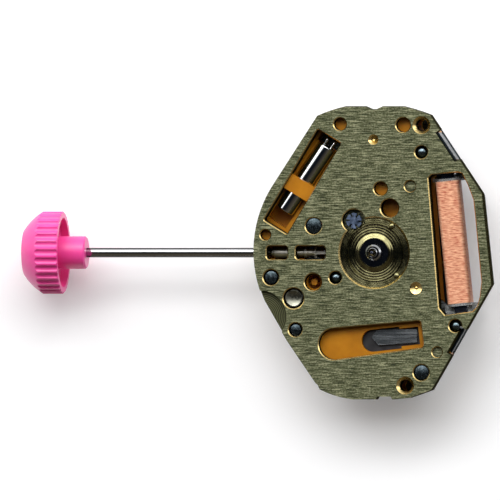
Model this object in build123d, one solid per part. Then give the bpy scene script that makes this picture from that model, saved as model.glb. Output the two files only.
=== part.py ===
from build123d import *
import os
from math import asin, atan2, cos, degrees, hypot, radians, sin, sqrt

os.makedirs("parts", exist_ok=True)

# Frame: the origin is on the hand axis, in the plane that the dial rests on.
# +Z points to the dial, the crown is at -X, and all lengths are millimetres.

# Main plate
plateWidth = 15.24
plateLength = 18.5
plateThickness = 1.0
holeChamfer = 0.06
edgeNotchDepth = 0.33
overrun = 0.6

# Layers under the plate, as depths below the dial face
webTop = 1.8
webThickness = 0.15
spacerBottom = 2.35
spacerInset = 0.3
bridgeThickness = 0.2
boardThickness = 0.13
coverTop = 2.76
coverThickness = 0.16

# Fits
running = 0.02
slack = 0.06
easy = 0.1

# Motion works on the dial side
cannonTeeth = 12
minuteTeeth = 27
minutePinionLeaves = 6
hourTeeth = 32
settingTeeth = 12
motionDistance = 2.405
motionAngle = 123.3
motionTop = 1.38
motionThickness = 0.17
minutePinionTop = 0.16
minutePinionPhase = 25
leafGap = 0.1
minuteArborRadius = 0.16
pocketRadius = 0.72
bossRim = 0.2

# Central recess and what lies in it
recessRadius = 2.2
recessDepth = 0.6
recessChamfer = 0.1
guardTop = 0.18
guardThickness = 0.14
guardInnerRadius = 1.83
pipRadius = 0.2
pipHeight = 0.12
hourRimThickness = 0.18
hourFaceDepth = 0.14
hourFaceRadius = 1.8
hourBeadWidth = 0.09
hourBeadHeight = 0.05
hourGrooveRadius = 1.3
hourConeRadius = 1.2
hourConeHeight = 0.12
collarRadius = 0.91
collarThickness = 0.07
hourPipeRadius = 0.5
hourPipeHeight = 0.4
pipeChamfer = 0.1
hubRadius = 0.7
hourGrooveDepth = 0.05

# Hands' seats
cannonRadius = 0.335
cannonHeight = 0.62
cannonSeatRadius = 0.3
cannonSeatLength = 0.2
tubeRadius = 0.2
tubeHeight = 0.3
secondsRadius = 0.1
secondsHeight = 0.95
secondsSeatRadius = 0.085
secondsSeatLength = 0.29
tipChamfer = 0.04

# Going train
secondsTeeth = 30
fifthLeaves = 6
secondsModule = 0.112
secondsPinionHeight = 0.14
fifthAngle = -45.6
fifthTeeth = 36
rotorLeaves = 6
fifthModule = 0.0712
rotorAngle = -31.9
thirdTeeth = 60
secondsLeaves = 8
thirdModule = 0.0579
thirdAngle = 56.4
centreTeeth = 64
thirdLeaves = 8
thirdPinionTop = 1.3
rotorPinionTop = 1.72
rotorPinionHeight = 0.4
wheelThickness = 0.08
arborRadius = 0.09
pivotRadius = 0.05
pivotLength = 0.18
centreWheelTop = 1.6
centreWheelThickness = 0.12
fifthWheelTop = 1.98
secondsWheelTop = 2.09
thirdWheelTop = 2.2

# Step motor
magnetRadius = 0.55
magnetThickness = 0.44
magnetTop = 1.24
statorThickness = 0.4
statorArmWidth = 0.7
statorRingRadius = 1.12
coilLength = 7.75
coilWidth = 1.5
coilHeight = 1.3
coilCorner = 0.5
coilDepth = 1.05
coilTilt = 5.9
coreLength = 9.2
coreWidth = 0.8
coreThickness = 0.42
bobbinThickness = 0.16
bobbinLeft = 1.02
bobbinRight = 1.08
bobbinHead = 0.25
bobbinFoot = 0.62
coilScrewRadius = 0.15
coilScrewHeadRadius = 0.28
coilScrewHeadHeight = 0.16
coilScrewTop = 0.5

# Stem and crown
stemDepth = 1.15
stemRadius = 0.305
stemNeckRadius = 0.235
stemShoulderRadius = 0.345
stemGrooveRadius = 0.2
stemGrooveWidth = 0.3
stemGrooveInset = 0.24
stemNeckLength = 0.5
stemShoulderLength = 1.38
stemPlainRadius = 0.25
stemPlainLength = 0.54
squareSide = 0.2
squareLength = 1.53
stemExposed = 10.86
crownRadius = 2.6
crownLength = 2.46
crownShoulder = 1.2
crownBulge = 0.1
crownFaceRadius = 1.45
crownWall = 0.42
crownCavityDepth = 0.5
crownRimChamfer = 0.08
crownFlutes = 32
fluteRadius = 0.25
fluteRise = 0.13
fluteStart = 0.76
bossRadius = 1.035
bossLength = 1.49
bossChamfer = 0.1
crownGripDepth = 1.0

# Keyless works
clutchRadius = 0.345
clutchNeckRadius = 0.23
clutchLength = 0.76
clutchRim = 0.14
clutchTeeth = 12
clutchToothHeight = 0.07
clutchShift = 0.45
crownPull = 0.8
leverTop = 1.62
leverThickness = 0.14
leverWidth = 0.6
leverHubRadius = 0.55
nosePinRadius = 0.1
noseSide = 0.09
yokeWidth = 0.7
guidePinRadius = 0.29
guideStemRadius = 0.13
guideHeadRadius = 0.2
guideHeadHeight = 0.06
leverAxleRadius = 0.3
leverHeadRadius = 0.535
leverHeadHeight = 0.2
leverHeadTop = 0.1
leverDishRadius = 0.48
leverDishDepth = 0.09
jumperWidth = 0.26
jumperRing = 0.2

# Holes of the plate
pegHoleRadius = 0.43
pegDepth = 0.55
pegGap = 0.02
pegTipRadius = 0.2
pegGrooveDepth = 1.3
pinHoleRadius = 0.45
pinTopDepth = 0.1
blindRadius = 0.33
blindDepth = 0.22
footRadius = 0.38
footChamfer = 0.19
coneDepth = 0.3
openHoleRadius = 0.58
dimpleRadius = 0.39
leverHoleRadius = 0.655
edgeRecessRadius = 1.64
edgeRecessDepth = 0.35

# Crystal
crystalRadius = 0.6
crystalLength = 4.9
crystalAngle = 56
crystalDepth = 0.98
crystalWindowLength = 6.7
crystalWindowWidth = 1.74
crystalWindowAngle = 58.9
crystalWindowCorner = 0.12
strapWidth = 1.02
strapThickness = 0.14
leadRadius = 0.09
leadSpacing = 0.5
leadLength = 0.78
leadHoleWidth = 1.6

# Battery and its contact
batteryRadius = 2.9
batteryThickness = 2.0
batteryTop = 1.16
batteryCapRadius = 2.45
batteryCapHeight = 0.3
batteryLip = 0.1
batterySealWidth = 0.12
slotRadius = 0.99
slotLength = 5.66
slotAngle = 6.4
slotEndWidth = 1.7
slotCorner = 0.19
padDepth = 0.5
roofThickness = 0.1
insulatorRadius = 0.7
insulatorLength = 1.8
insulatorTailLength = 3.0
insulatorTailWidth = 1.12
insulatorThickness = 0.12
insulatorTop = 0.78
contactThickness = 0.1
contactTop = 0.62
contactFootRadius = 0.3

# Circuit
chipSide = 1.7
chipHeight = 0.22

# Fasteners and small steel
screwRadius = 0.2
screwHeadRadius = 0.42
screwHeadHeight = 0.16
screwSlotWidth = 0.12
screwSlotDepth = 0.07
jewelRadius = 0.24
bushRadius = 0.3
bushTopDepth = 0.16
bushCover = 0.05
dishFloorRadius = 0.1
capHeight = 0.06
postRadius = 0.16
postHeadRadius = 0.3
postHeadHeight = 0.04
armThickness = 0.12
coverGapStart = 0.3
armTop = 0.12
catchTop = 0.8
screwBossRadius = 0.45

# Places as shares of half the plate's width and half its length
outlineShares = {
    "topLeft": (-0.235, 0.998),
    "notchLeft": (-0.085, 0.998),
    "notchFloorLeft": (-0.029, 0.978),
    "notchFloorRight": (0.022, 0.978),
    "notchRight": (0.075, 0.998),
    "topRight": (0.235, 0.998),
    "topRightMiddle": (0.354, 0.971),
    "upperRight": (0.469, 0.938),
    "rightTop": (0.904, 0.402),
    "rightBottom": (0.984, -0.218),
    "lowerRight": (0.482, -0.934),
    "lowerRightMiddle": (0.388, -0.9625),
    "bottomRight": (0.293, -0.989),
    "footRight": (0.152, -1.0),
    "footFloorRight": (0.138, -0.981),
    "footFloorLeft": (0.026, -0.981),
    "footLeft": (0.01, -1.0),
    "bottomLeft": (-0.181, -1.0),
    "lowerLeftMiddle": (-0.323, -0.976),
    "lowerLeft": (-0.457, -0.932),
    "stepOuter": (-0.475, -0.9),
    "stepInner": (-0.492, -0.889),
    "leftBevel": (-0.734, -0.599),
    "leftLow": (-0.924, -0.331),
    "leftMiddle": (-1.013, 0.011),
    "leftHigh": (-0.861, 0.4465),
    "leftShoulder": (-0.785, 0.543),
    "upperLeft": (-0.478, 0.932),
    "upperLeftMiddle": (-0.359, 0.97),
}
outlineArcs = {
    "topRight": "topRightMiddle",
    "lowerRight": "lowerRightMiddle",
    "bottomLeft": "lowerLeftMiddle",
    "leftLow": "leftMiddle",
    "upperLeft": "upperLeftMiddle",
}
# x, y and a size beside pegHoleRadius
pegShares = (
    (-0.286, 0.876, 0.93),
    (0.244, 0.87, 1.07),
    (0.054, 0.436, 1.0),
    (-0.913, 0.122, 0.78),
    (-0.513, -0.2, 1.26),
)
# x, y, a hole beside pinHoleRadius and a pin beside its hole
pinShares = (
    (0.396, 0.684, 0.91, 0.77),
    (-0.508, 0.182, 1.16, 0.9),
    (-0.866, -0.169, 1.11, 0.78),
    (-0.661, -0.525, 0.97, 0.74),
    (0.396, -0.817, 1.13, 0.86),
    (0.682, -0.499, 0.91, 0.68),
)
pinDomeShares = (0.45, 0.12, 0.12, 0.12, 0.12, 0.45)
jumperPin = 3
blindShares = ((0.302, 0.453, 1.06), (0.529, -0.678, 0.97))
coneShare = (-0.005, 0.77)
footShares = ((0.398, 0.868), (0.262, -0.906))
openHoleShare = (0.13, 0.304)
clutchShare = (-0.6076, 0)
guidePinShare = (-0.3255, -0.171)
smallGuideShare = (-0.433, -0.103)
guideHoleShare = 1.38
leverAxleShare = (-0.677, -0.311)
edgeRecessShare = (-0.949, -0.436)
coilCentreShare = (0.652, 0.07)
coilWindowShares = (
    (0.454, 0.508),
    (0.482, 0.531),
    (0.705, 0.548),
    (0.739, 0.537),
    (0.785, 0.462),
    (0.832, 0.361),
    (0.848, 0.246),
    (0.869, 0.058),
    (0.9, -0.198),
    (0.886, -0.298),
    (0.865, -0.365),
    (0.827, -0.399),
    (0.594, -0.426),
    (0.545, -0.379),
)
crystalCentreShare = (-0.592, 0.504)
crystalWindowShare = (-0.604, 0.4832)
strapAlongShare = -0.065
batteryShare = (-0.026, -0.6216)
slotShare = (-0.336, -0.6227)
insulatorShare = (-0.024, -0.6)
contactShares = (
    (-0.034, -0.579),
    (0.008, -0.529),
    (0.349, -0.52),
    (0.346, -0.614),
    (0.022, -0.63),
)
contactFootShare = (0.21, -0.567)
stemWindowShares = ((-0.904, -0.727), (-0.66, -0.41))
stemWindowWidth = 0.85
stemWindowCorner = 0.2
boardShares = (
    (-0.8, 0.47),
    (-0.47, 0.9),
    (-0.2, 0.95),
    (0.2, 0.95),
    (0.34, 0.72),
    (0.7, 0.58),
    (0.44, 0.55),
    (0.44, 0.4),
    (-0.2, 0.4),
)
bridgeShares = (
    (-0.29, -0.18),
    (-0.29, -0.06),
    (-0.19, 0.345),
    (0.32, 0.345),
    (0.53, -0.06),
    (0.52, -0.22),
    (0.43, -0.335),
    (0.22, -0.297),
    (0.0, -0.254),
)
bridgeScrewShares = ((-0.23, -0.125), (-0.118, 0.313), (0.466, -0.13))
coverScrewShares = ((-0.12, 0.75), (-0.7, -0.4), (0.47, -0.71))
chipShare = (-0.16, 0.58)
statorShares = ((0.387, 0.562), (0.387, 0.054))
statorFootShare = (0.59, -0.416)
jumperTipShare = (-0.765, -0.354)
springNotchShares = (0.375, 0.374)
catchNotchShares = (0.549, 0.246)

# Shapes of teeth, as shares of the module and of the pitch
addendumShare = 0.9
dedendumShare = 1.15
rootShare = 0.31
flankShare = 0.22
tipShare = 0.09


def at(share):
    """The point that a pair of shares names."""
    return share[0] * plateWidth / 2, share[1] * plateLength / 2


def away(angle, distance, start=(0, 0)):
    return (
        start[0] + distance * cos(radians(angle)),
        start[1] + distance * sin(radians(angle)),
    )


def direction(start, end):
    return degrees(atan2(end[1] - start[1], end[0] - start[0]))


def span(start, end):
    return hypot(end[0] - start[0], end[1] - start[1])


def plug(place, radius, bottom, top):
    """An upright cylinder between two heights."""
    return Pos(place[0], place[1], bottom) * Cylinder(
        radius, top - bottom, align=(Align.CENTER, Align.CENTER, Align.MIN)
    )


def taper(place, lowRadius, highRadius, bottom, top):
    """An upright cone between two heights."""
    return Pos(place[0], place[1], bottom) * Cone(
        lowRadius, highRadius, top - bottom, align=(Align.CENTER, Align.CENTER, Align.MIN)
    )


def slab(face, bottom, top):
    return Pos(0, 0, bottom) * extrude(face, amount=top - bottom, dir=(0, 0, 1))


def flared(face, bottom, top, slope):
    """A slab whose sides lean in by an angle, or out where it is negative."""
    return Pos(0, 0, bottom) * extrude(face, amount=top - bottom, dir=(0, 0, 1), taper=slope)


def polygon(points):
    return make_face(Polyline(*points, close=True))


def bar(start, end, width):
    """A flat strip with round ends that joins two places."""
    turn = Pos(start[0], start[1]) * Rot(0, 0, direction(start, end))
    return (
        turn * Pos(span(start, end) / 2, 0) * Rectangle(span(start, end), width)
        + Pos(start[0], start[1]) * Circle(width / 2)
        + Pos(end[0], end[1]) * Circle(width / 2)
    )


def along(radius, low, high):
    """A cylinder on the stem's axis between two places along X."""
    return (
        Pos(low, 0, -stemDepth)
        * Rot(0, 90, 0)
        * Cylinder(radius, high - low, align=(Align.CENTER, Align.CENTER, Align.MIN))
    )


def dome(place, radius, height, bottom):
    ball = (radius**2 + height**2) / (2 * height)
    return Pos(place[0], place[1], bottom + height - ball) * Sphere(ball) & plug(
        place, radius, bottom, bottom + height
    )


def dish(place, radius, depth, top):
    """The cutter of a shallow round hollow."""
    ball = (radius**2 + depth**2) / (2 * depth)
    return Pos(place[0], place[1], top - depth + ball) * Sphere(ball)


def toothed(teeth, module, place, phase, bottom, top):
    """A spur wheel or pinion, with the middle of one tooth at the angle phase."""
    pitch = teeth * module / 2
    tip = pitch + addendumShare * module
    root = pitch - dedendumShare * module
    side = ((rootShare, root), (flankShare, pitch), (tipShare, tip))
    profile = [(-share, radius) for share, radius in side] + list(reversed(side))
    points = []
    for tooth in range(teeth):
        for share, radius in profile:
            points.append(away(phase + 360 / teeth * (tooth + share), radius, place))
    return slab(polygon(points), bottom, top)


def meshed(phase, teeth, otherTeeth, angle):
    """The phase of a wheel that meets, in the direction angle, a wheel that has the given phase."""
    past = (angle - phase) * teeth / 360 % 1
    return angle + 180 + (past + 0.5) * 360 / otherTeeth


def union(shapes):
    whole = shapes[0]
    for shape in shapes[1:]:
        whole = whole + shape
    return whole


# Places that follow from the gears
motionModule = 2 * motionDistance / (cannonTeeth + minuteTeeth)
hourModule = 2 * motionDistance / (minutePinionLeaves + hourTeeth)
minutePlace = away(motionAngle, motionDistance)
settingDistance = motionModule * (minuteTeeth + settingTeeth) / 2
settingReach = sqrt(max(settingDistance**2 - minutePlace[1] ** 2, 0))
settingPlace = (minutePlace[0] - settingReach, 0)
fifthDistance = secondsModule * (secondsTeeth + fifthLeaves) / 2
fifthPlace = away(fifthAngle, fifthDistance)
rotorPlace = away(rotorAngle, fifthModule * (fifthTeeth + rotorLeaves) / 2, fifthPlace)
thirdDistance = thirdModule * (thirdTeeth + secondsLeaves) / 2
thirdPlace = away(thirdAngle, thirdDistance)
centreModule = 2 * thirdDistance / (centreTeeth + thirdLeaves)

# Other places
webBottom = webTop + webThickness
bridgeTop = spacerBottom
bridgeBottom = bridgeTop + bridgeThickness
boardBottom = spacerBottom + boardThickness
batteryPlace = at(batteryShare)
leverPlace = at(leverAxleShare)
guidePlace = at(guidePinShare)
coilPlace = at(coilCentreShare)
coilTop = away(90 + coilTilt, coreLength / 2, coilPlace)
coilBottom = away(-90 + coilTilt, coreLength / 2, coilPlace)
crystalPlace = at(crystalCentreShare)
clutchLeft = at(clutchShare)[0]
clutchRight = clutchLeft + clutchLength
clutchMiddle = (clutchLeft + clutchRight) / 2

coreTop = coilDepth - coreThickness / 2
statorTop = coilDepth + coreThickness / 2
statorBottom = statorTop + statorThickness
motionBottom = motionTop + motionThickness
hourRimTop = guardTop + guardThickness + running * 2.5
minuteArborBottom = webBottom
leverBottom = leverTop + leverThickness
squareLeft = clutchLeft - running
squareRight = squareLeft + squareLength
plainLeft = squareLeft - stemPlainLength
shoulderLeft = plainLeft - stemShoulderLength
neckLeft = shoulderLeft - stemNeckLength
grooveMiddle = plainLeft - stemGrooveInset
bossEnd = at(outlineShares["leftMiddle"])[0] - stemExposed
crownRim = bossEnd - bossLength
crownFront = crownRim - crownLength
nosePlace = (grooveMiddle, noseSide)
noseReach = span(leverPlace, nosePlace)
leverSwing = degrees(
    asin((leverPlace[0] - grooveMiddle + crownPull) / noseReach)
    - asin((leverPlace[0] - grooveMiddle) / noseReach)
)

# Phases that let each pair of gears mesh
minutePhase = meshed(0, cannonTeeth, minuteTeeth, motionAngle)
settingPhase = meshed(minutePhase, minuteTeeth, settingTeeth, direction(minutePlace, settingPlace))
hourPhase = meshed(minutePinionPhase, minutePinionLeaves, hourTeeth, motionAngle + 180)
fifthPinionPhase = meshed(0, secondsTeeth, fifthLeaves, fifthAngle)
rotorPhase = meshed(0, fifthTeeth, rotorLeaves, rotorAngle)
thirdPhase = meshed(0, secondsLeaves, thirdTeeth, thirdAngle)
centrePhase = meshed(0, thirdLeaves, centreTeeth, thirdAngle + 180)


def outline(small):
    """The plate's face, with or without the small notches and steps of its edge."""
    middles = list(outlineArcs.values())
    names = [name for name in outlineShares if name not in middles]
    if not small:
        names = [name for name in names if not name.startswith(("notch", "footFloor", "step"))]
    edges = []
    for name, following in zip(names, names[1:] + names[:1]):
        start, end = at(outlineShares[following]), at(outlineShares[name])
        if name in outlineArcs:
            edges.append(ThreePointArc(start, at(outlineShares[outlineArcs[name]]), end))
        else:
            edges.append(Line(start, end))
    return make_face(edges[::-1])


def inner(inset):
    """The face of a layer that lies inside the plate's edge."""
    return offset(outline(False), amount=-inset, kind=Kind.INTERSECTION)


def bored(place, radius, edge):
    """The cutter of a chamfered hole through the plate."""
    return plug(place, radius, -plateThickness - overrun, overrun) + taper(
        place, radius, radius + edge, -edge, 0
    )


def sunk(place, radius, depth):
    """The cutter of a chamfered blind hole in the dial side."""
    return plug(place, radius, -depth, overrun) + taper(
        place, radius, radius + holeChamfer, -holeChamfer, 0
    )


def window(face):
    """The cutter of a chamfered window through the plate."""
    return slab(face, -plateThickness - overrun, overrun) + flared(face, -holeChamfer, 0, -45)


def slotFace(gap):
    """The long slot over the battery, drawn in by a gap."""
    wide, narrow = slotRadius - gap, slotEndWidth / 2 - gap
    length = slotLength - gap
    start = at(slotShare)
    body = polygon(((0, wide), (length, narrow), (length, -narrow), (0, -wide)))
    corners = body.vertices().group_by(Axis.X)[-1]
    return Pos(start[0], start[1]) * Rot(0, 0, slotAngle) * (
        fillet(corners, slotCorner) + Circle(wide)
    )


def insulatorFace(gap):
    """Wide and round at one end, with a narrower tail under the end of the contact."""
    start = at(insulatorShare)
    wide = Circle(insulatorRadius - gap)
    sides = Rectangle(insulatorLength - 2 * gap, 2 * (insulatorRadius - gap))
    wide = wide + Pos(insulatorLength / 2, 0) * sides
    tail = Rectangle(insulatorTailLength - 2 * gap, insulatorTailWidth - 2 * gap)
    return Pos(start[0], start[1]) * Rot(0, 0, slotAngle) * (wide + Pos(insulatorTailLength / 2, 0) * tail)


def edgeBox(startName, endName, shares, inward, outward, sides):
    """A rectangle on a straight edge of the plate, from one depth inside it to another."""
    start, end = at(outlineShares[startName]), at(outlineShares[endName])
    length = span(start, end)
    middle = away(direction(start, end), length * shares[0], start)
    place = Pos(middle[0], middle[1]) * Rot(0, 0, direction(start, end))
    depth = inward - outward
    return place * Pos(0, -outward - depth / 2) * Rectangle(length * shares[1] - 2 * sides, depth)


def springSide(inward, outward, sides):
    return edgeBox("upperRight", "rightTop", springNotchShares, inward, outward, sides)


def catchSide(inward, outward, sides):
    return edgeBox("rightBottom", "lowerRight", catchNotchShares, inward, outward, sides)


def armSpace():
    inward = spacerInset + armThickness + 2 * slack
    return [
        slab(side(inward, -overrun, 0), -coverTop, overrun - plateThickness)
        for side in (springSide, catchSide)
    ]


def stemWindow(shares):
    left, right = at((shares[0], 0))[0], at((shares[1], 0))[0]
    face = RectangleRounded(right - left, stemWindowWidth, stemWindowCorner)
    return window(Pos((left + right) / 2, 0) * face)


def crystalWindow():
    place = at(crystalWindowShare)
    face = RectangleRounded(crystalWindowLength, crystalWindowWidth, crystalWindowCorner)
    return window(Pos(place[0], place[1]) * Rot(0, 0, crystalWindowAngle) * face)


def coilWindow():
    return polygon([at(share) for share in coilWindowShares])


def coilSpace(gap):
    """The flat shape that holds the coil, from flange to flange."""
    return (
        Pos(coilPlace[0], coilPlace[1])
        * Rot(0, 0, coilTilt)
        * Rectangle(coilWidth + 2 * gap, coilLength + 2 * bobbinThickness + 2 * gap)
    )


def bobbinFace(gap):
    """The flat end plates of the bobbin, as wide as the window over them."""
    width = bobbinLeft + bobbinRight + 2 * gap
    faces = []
    for side, reach in ((1, bobbinHead), (-1, bobbinFoot)):
        middle = Pos((bobbinRight - bobbinLeft) / 2, side * (coilLength + reach) / 2)
        faces.append(middle * Rectangle(width, reach + 2 * gap))
    return Pos(coilPlace[0], coilPlace[1]) * Rot(0, 0, coilTilt) * union(faces)


def rotorDish():
    return taper(rotorPlace, dishFloorRadius, dimpleRadius, -bushTopDepth, 0)


def statorFace(gap):
    points = [coilTop] + [at(share) for share in statorShares]
    points += [rotorPlace, at(statorFootShare), coilBottom]
    arms = [bar(a, b, statorArmWidth + 2 * gap) for a, b in zip(points, points[1:])]
    ring = Pos(rotorPlace[0], rotorPlace[1]) * Circle(statorRingRadius + gap)
    return union(arms + [ring])


def mainPlate():
    body = slab(outline(True), -plateThickness, 0)
    cuts = [
        plug((0, 0), recessRadius, -recessDepth, overrun),
        taper((0, 0), recessRadius, recessRadius + recessChamfer, -recessChamfer, 0),
        plug((0, 0), cannonRadius + slack, -plateThickness - overrun, 0),
        sunk(minutePlace, pocketRadius, recessDepth),
        plug(minutePlace, minuteArborRadius + running, -plateThickness - overrun, 0),
        plug(thirdPlace, bushRadius, -plateThickness - overrun, -recessDepth - bushCover),
        plug(fifthPlace, bushRadius, -plateThickness - overrun, -recessDepth - bushCover),
        rotorDish(),
        plug(rotorPlace, bushRadius, -plateThickness - overrun, 0),
        taper(at(coneShare), 0, blindRadius, -coneDepth, 0),
        bored(at(openHoleShare), openHoleRadius, holeChamfer),
        bored(guidePlace, guidePinRadius * guideHoleShare, holeChamfer),
        bored(leverPlace, leverHoleRadius, holeChamfer),
        plug(at(edgeRecessShare), edgeRecessRadius, -edgeRecessDepth, overrun),
        window(slotFace(0)),
        window(coilWindow()),
        crystalWindow(),
        along(stemShoulderRadius + slack, at(outlineShares["leftMiddle"])[0] - overrun, squareRight + slack),
        slab(springSide(edgeNotchDepth, -overrun, 0), -plateThickness - overrun, overrun),
        slab(catchSide(edgeNotchDepth, -overrun, 0), -plateThickness - overrun, overrun),
        slab(bar(coilTop, coilBottom, coreWidth + 2 * slack), -plateThickness - overrun, -coreTop + running),
    ]
    cuts += [stemWindow(shares) for shares in stemWindowShares]
    cuts += [bored(at((x, y)), pegHoleRadius * size, holeChamfer) for x, y, size in pegShares]
    cuts += [bored(at((x, y)), pinHoleRadius * size, holeChamfer) for x, y, size, _ in pinShares]
    cuts += [sunk(at((x, y)), blindRadius * size, blindDepth) for x, y, size in blindShares]
    cuts += [bored(at(share), footRadius, footChamfer) for share in footShares]
    for place in (coilTop, coilBottom):
        cuts.append(plug(place, coilScrewRadius, -plateThickness, -coilScrewTop))
    for cut in cuts:
        body = body - cut
    return body


def canSpace(radius, length):
    """A lying cylinder on the axis of the crystal."""
    return (
        Pos(crystalPlace[0], crystalPlace[1], -crystalDepth)
        * Rot(0, 0, crystalAngle)
        * Rot(0, 90, 0)
        * Cylinder(radius, length)
    )


def crystalStrap():
    """The bridge of plastic that holds the can down."""
    place = at(crystalWindowShare)
    face = Rectangle(strapWidth, crystalWindowWidth - 2 * running)
    face = Pos(strapAlongShare * crystalWindowLength, 0) * face
    top = strapThickness + running + crystalRadius - crystalDepth
    block = slab(Pos(place[0], place[1]) * Rot(0, 0, crystalWindowAngle) * face, -webTop, top)
    return block - canSpace(crystalRadius + running, crystalLength)


def yokeFace(gap):
    pinPlace, headPlace = at(smallGuideShare), guidePlace
    corner = (clutchMiddle, pinPlace[1] / 2)
    width = yokeWidth + 2 * gap
    back = -clutchShift
    arms = [
        bar((clutchMiddle, 0), corner, width),
        bar(corner, pinPlace, width),
        bar(pinPlace, headPlace, width),
        bar((headPlace[0] + back, headPlace[1]), headPlace, width),
    ]
    return union(arms)


def leverFace(gap, angle):
    nose = away(angle + direction(leverPlace, nosePlace), noseReach, leverPlace)
    hub = Pos(leverPlace[0], leverPlace[1]) * Circle(leverHubRadius + gap)
    return bar(leverPlace, nose, leverWidth + 2 * gap) + hub


def jumperFace(gap):
    """A ring round one plate pin, and the spring that runs from it towards the lever."""
    x, y, size, pinSize = pinShares[jumperPin]
    place = at((x, y))
    ring = pinHoleRadius * size * pinSize + jumperRing + gap
    return bar(place, at(jumperTipShare), jumperWidth + 2 * gap) + Pos(place[0], place[1]) * Circle(ring)


def pinRadius(size, pinSize):
    return pinHoleRadius * size * pinSize


def topWells():
    """The spaces above the web: works of the hands, motor, yoke, lever and crystal."""
    tip = addendumShare * motionModule + easy
    rounds = [
        ((0, 0), centreTeeth * centreModule / 2 + centreModule + easy),
        (minutePlace, minuteTeeth * motionModule / 2 + tip),
        (settingPlace, settingTeeth * motionModule / 2 + tip),
        (thirdPlace, thirdLeaves * centreModule / 2 + centreModule + easy),
        (fifthPlace, arborRadius + easy),
        (leverPlace, leverHubRadius + easy),
    ]
    faces = [Pos(place[0], place[1]) * Circle(radius) for place, radius in rounds]
    faces += [statorFace(slack), coilSpace(slack), bar(coilTop, coilBottom, coreWidth + 2 * slack)]
    faces += [Pos(move, 0) * yokeFace(easy) for move in (0, clutchShift / 2, clutchShift)]
    faces += [leverFace(easy, angle) for angle in (0, leverSwing / 2, leverSwing)]
    faces += [jumperFace(slack)]
    return [slab(face, -webTop, overrun - plateThickness) for face in faces]


def bottomWells():
    """The spaces under the web, for the wheels of the going train."""
    rounds = [
        ((0, 0), secondsTeeth * secondsModule / 2 + secondsModule + easy),
        (thirdPlace, thirdTeeth * thirdModule / 2 + thirdModule + easy),
        (fifthPlace, fifthTeeth * fifthModule / 2 + fifthModule + easy),
        (rotorPlace, rotorLeaves * fifthModule / 2 + fifthModule + easy),
    ]
    return [plug(place, radius, -spacerBottom - overrun, -webBottom) for place, radius in rounds]


def webHoles():
    head = coilScrewHeadRadius + slack
    rounds = [
        ((0, 0), tubeRadius),
        (minutePlace, minuteArborRadius + running),
        (settingPlace, postRadius),
        (thirdPlace, thirdLeaves * centreModule / 2 + centreModule + slack),
        (fifthPlace, arborRadius + slack),
        (rotorPlace, rotorLeaves * fifthModule / 2 + fifthModule + slack),
        (guidePlace, guideStemRadius),
        (at(smallGuideShare), guideStemRadius),
        (leverPlace, leverAxleRadius),
        (coilTop, head),
        (coilBottom, head),
    ]
    rounds += [(at(share), footRadius) for share in footShares]
    rounds += [(at(share), screwRadius) for share in bridgeScrewShares]
    holes = [plug(place, radius, -spacerBottom - overrun, -webTop + overrun) for place, radius in rounds]
    holes += [plug(at(share), footRadius, -spacerBottom, overrun - plateThickness) for share in footShares]
    holes.append(slab(coilWindow(), -spacerBottom - overrun, overrun - plateThickness))
    holes.append(slab(bobbinFace(slack), -statorTop - slack, overrun - plateThickness))
    return holes


def circuitSpacer():
    body = slab(inner(spacerInset), -spacerBottom, -plateThickness)
    for well in topWells() + bottomWells() + armSpace():
        body = body - well
    roof = -plateThickness - roofThickness
    body = body - plug(batteryPlace, batteryRadius + slack, -spacerBottom - overrun, roof)
    body = body + slab(slotFace(pegGap), roof, -padDepth)
    body = body - slab(insulatorFace(0), -insulatorTop - insulatorThickness, overrun)
    foot = contactFootRadius + slack
    body = body - plug(at(contactFootShare), foot, -batteryTop, overrun)
    trough = Rot(0, 0, crystalAngle) * Rectangle(crystalWindowLength, 2 * (crystalRadius + slack))
    trough = Pos(crystalPlace[0], crystalPlace[1]) * trough
    body = body - slab(trough, -crystalDepth - crystalRadius - running, overrun - plateThickness)
    place = away(crystalAngle, crystalLength / 2 + leadLength / 2, crystalPlace)
    leadHole = Pos(place[0], place[1]) * Rot(0, 0, crystalAngle) * Rectangle(leadLength, leadHoleWidth)
    body = body - slab(leadHole, -spacerBottom - overrun, overrun - plateThickness)
    body = body + crystalStrap()
    boss = minuteArborRadius + running + bossRim
    body = body + plug(minutePlace, boss, -webBottom, -motionBottom - running)
    for x, y, size in pegShares:
        body = body + plug(at((x, y)), pegHoleRadius * size - pegGap, -plateThickness, -pegDepth)
    tip = at((x, y))
    groove = plug(tip, pegHoleRadius * size - easy, -pegGrooveDepth, overrun - pegDepth)
    body = body - (groove - plug(tip, pegTipRadius, -pegGrooveDepth, overrun - pegDepth))
    for share in coverScrewShares:
        body = body + plug(at(share), screwBossRadius, -coverTop, -spacerBottom)
        body = body - plug(at(share), screwRadius, -coverTop - overrun, -webBottom)
    for hole in webHoles():
        body = body - hole
    for x, y, size, pinSize in pinShares:
        body = body - plug(at((x, y)), pinRadius(size, pinSize), -spacerBottom - overrun, 0)
    channel = along(stemShoulderRadius + slack, at(outlineShares["leftMiddle"])[0], squareRight + slack)
    return body - channel


def pointed(radius, bottom, top):
    """A seat on the hand axis, with a chamfered tip."""
    return plug((0, 0), radius, bottom, top - tipChamfer) + taper(
        (0, 0), radius, radius - tipChamfer, top - tipChamfer, top
    )


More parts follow.
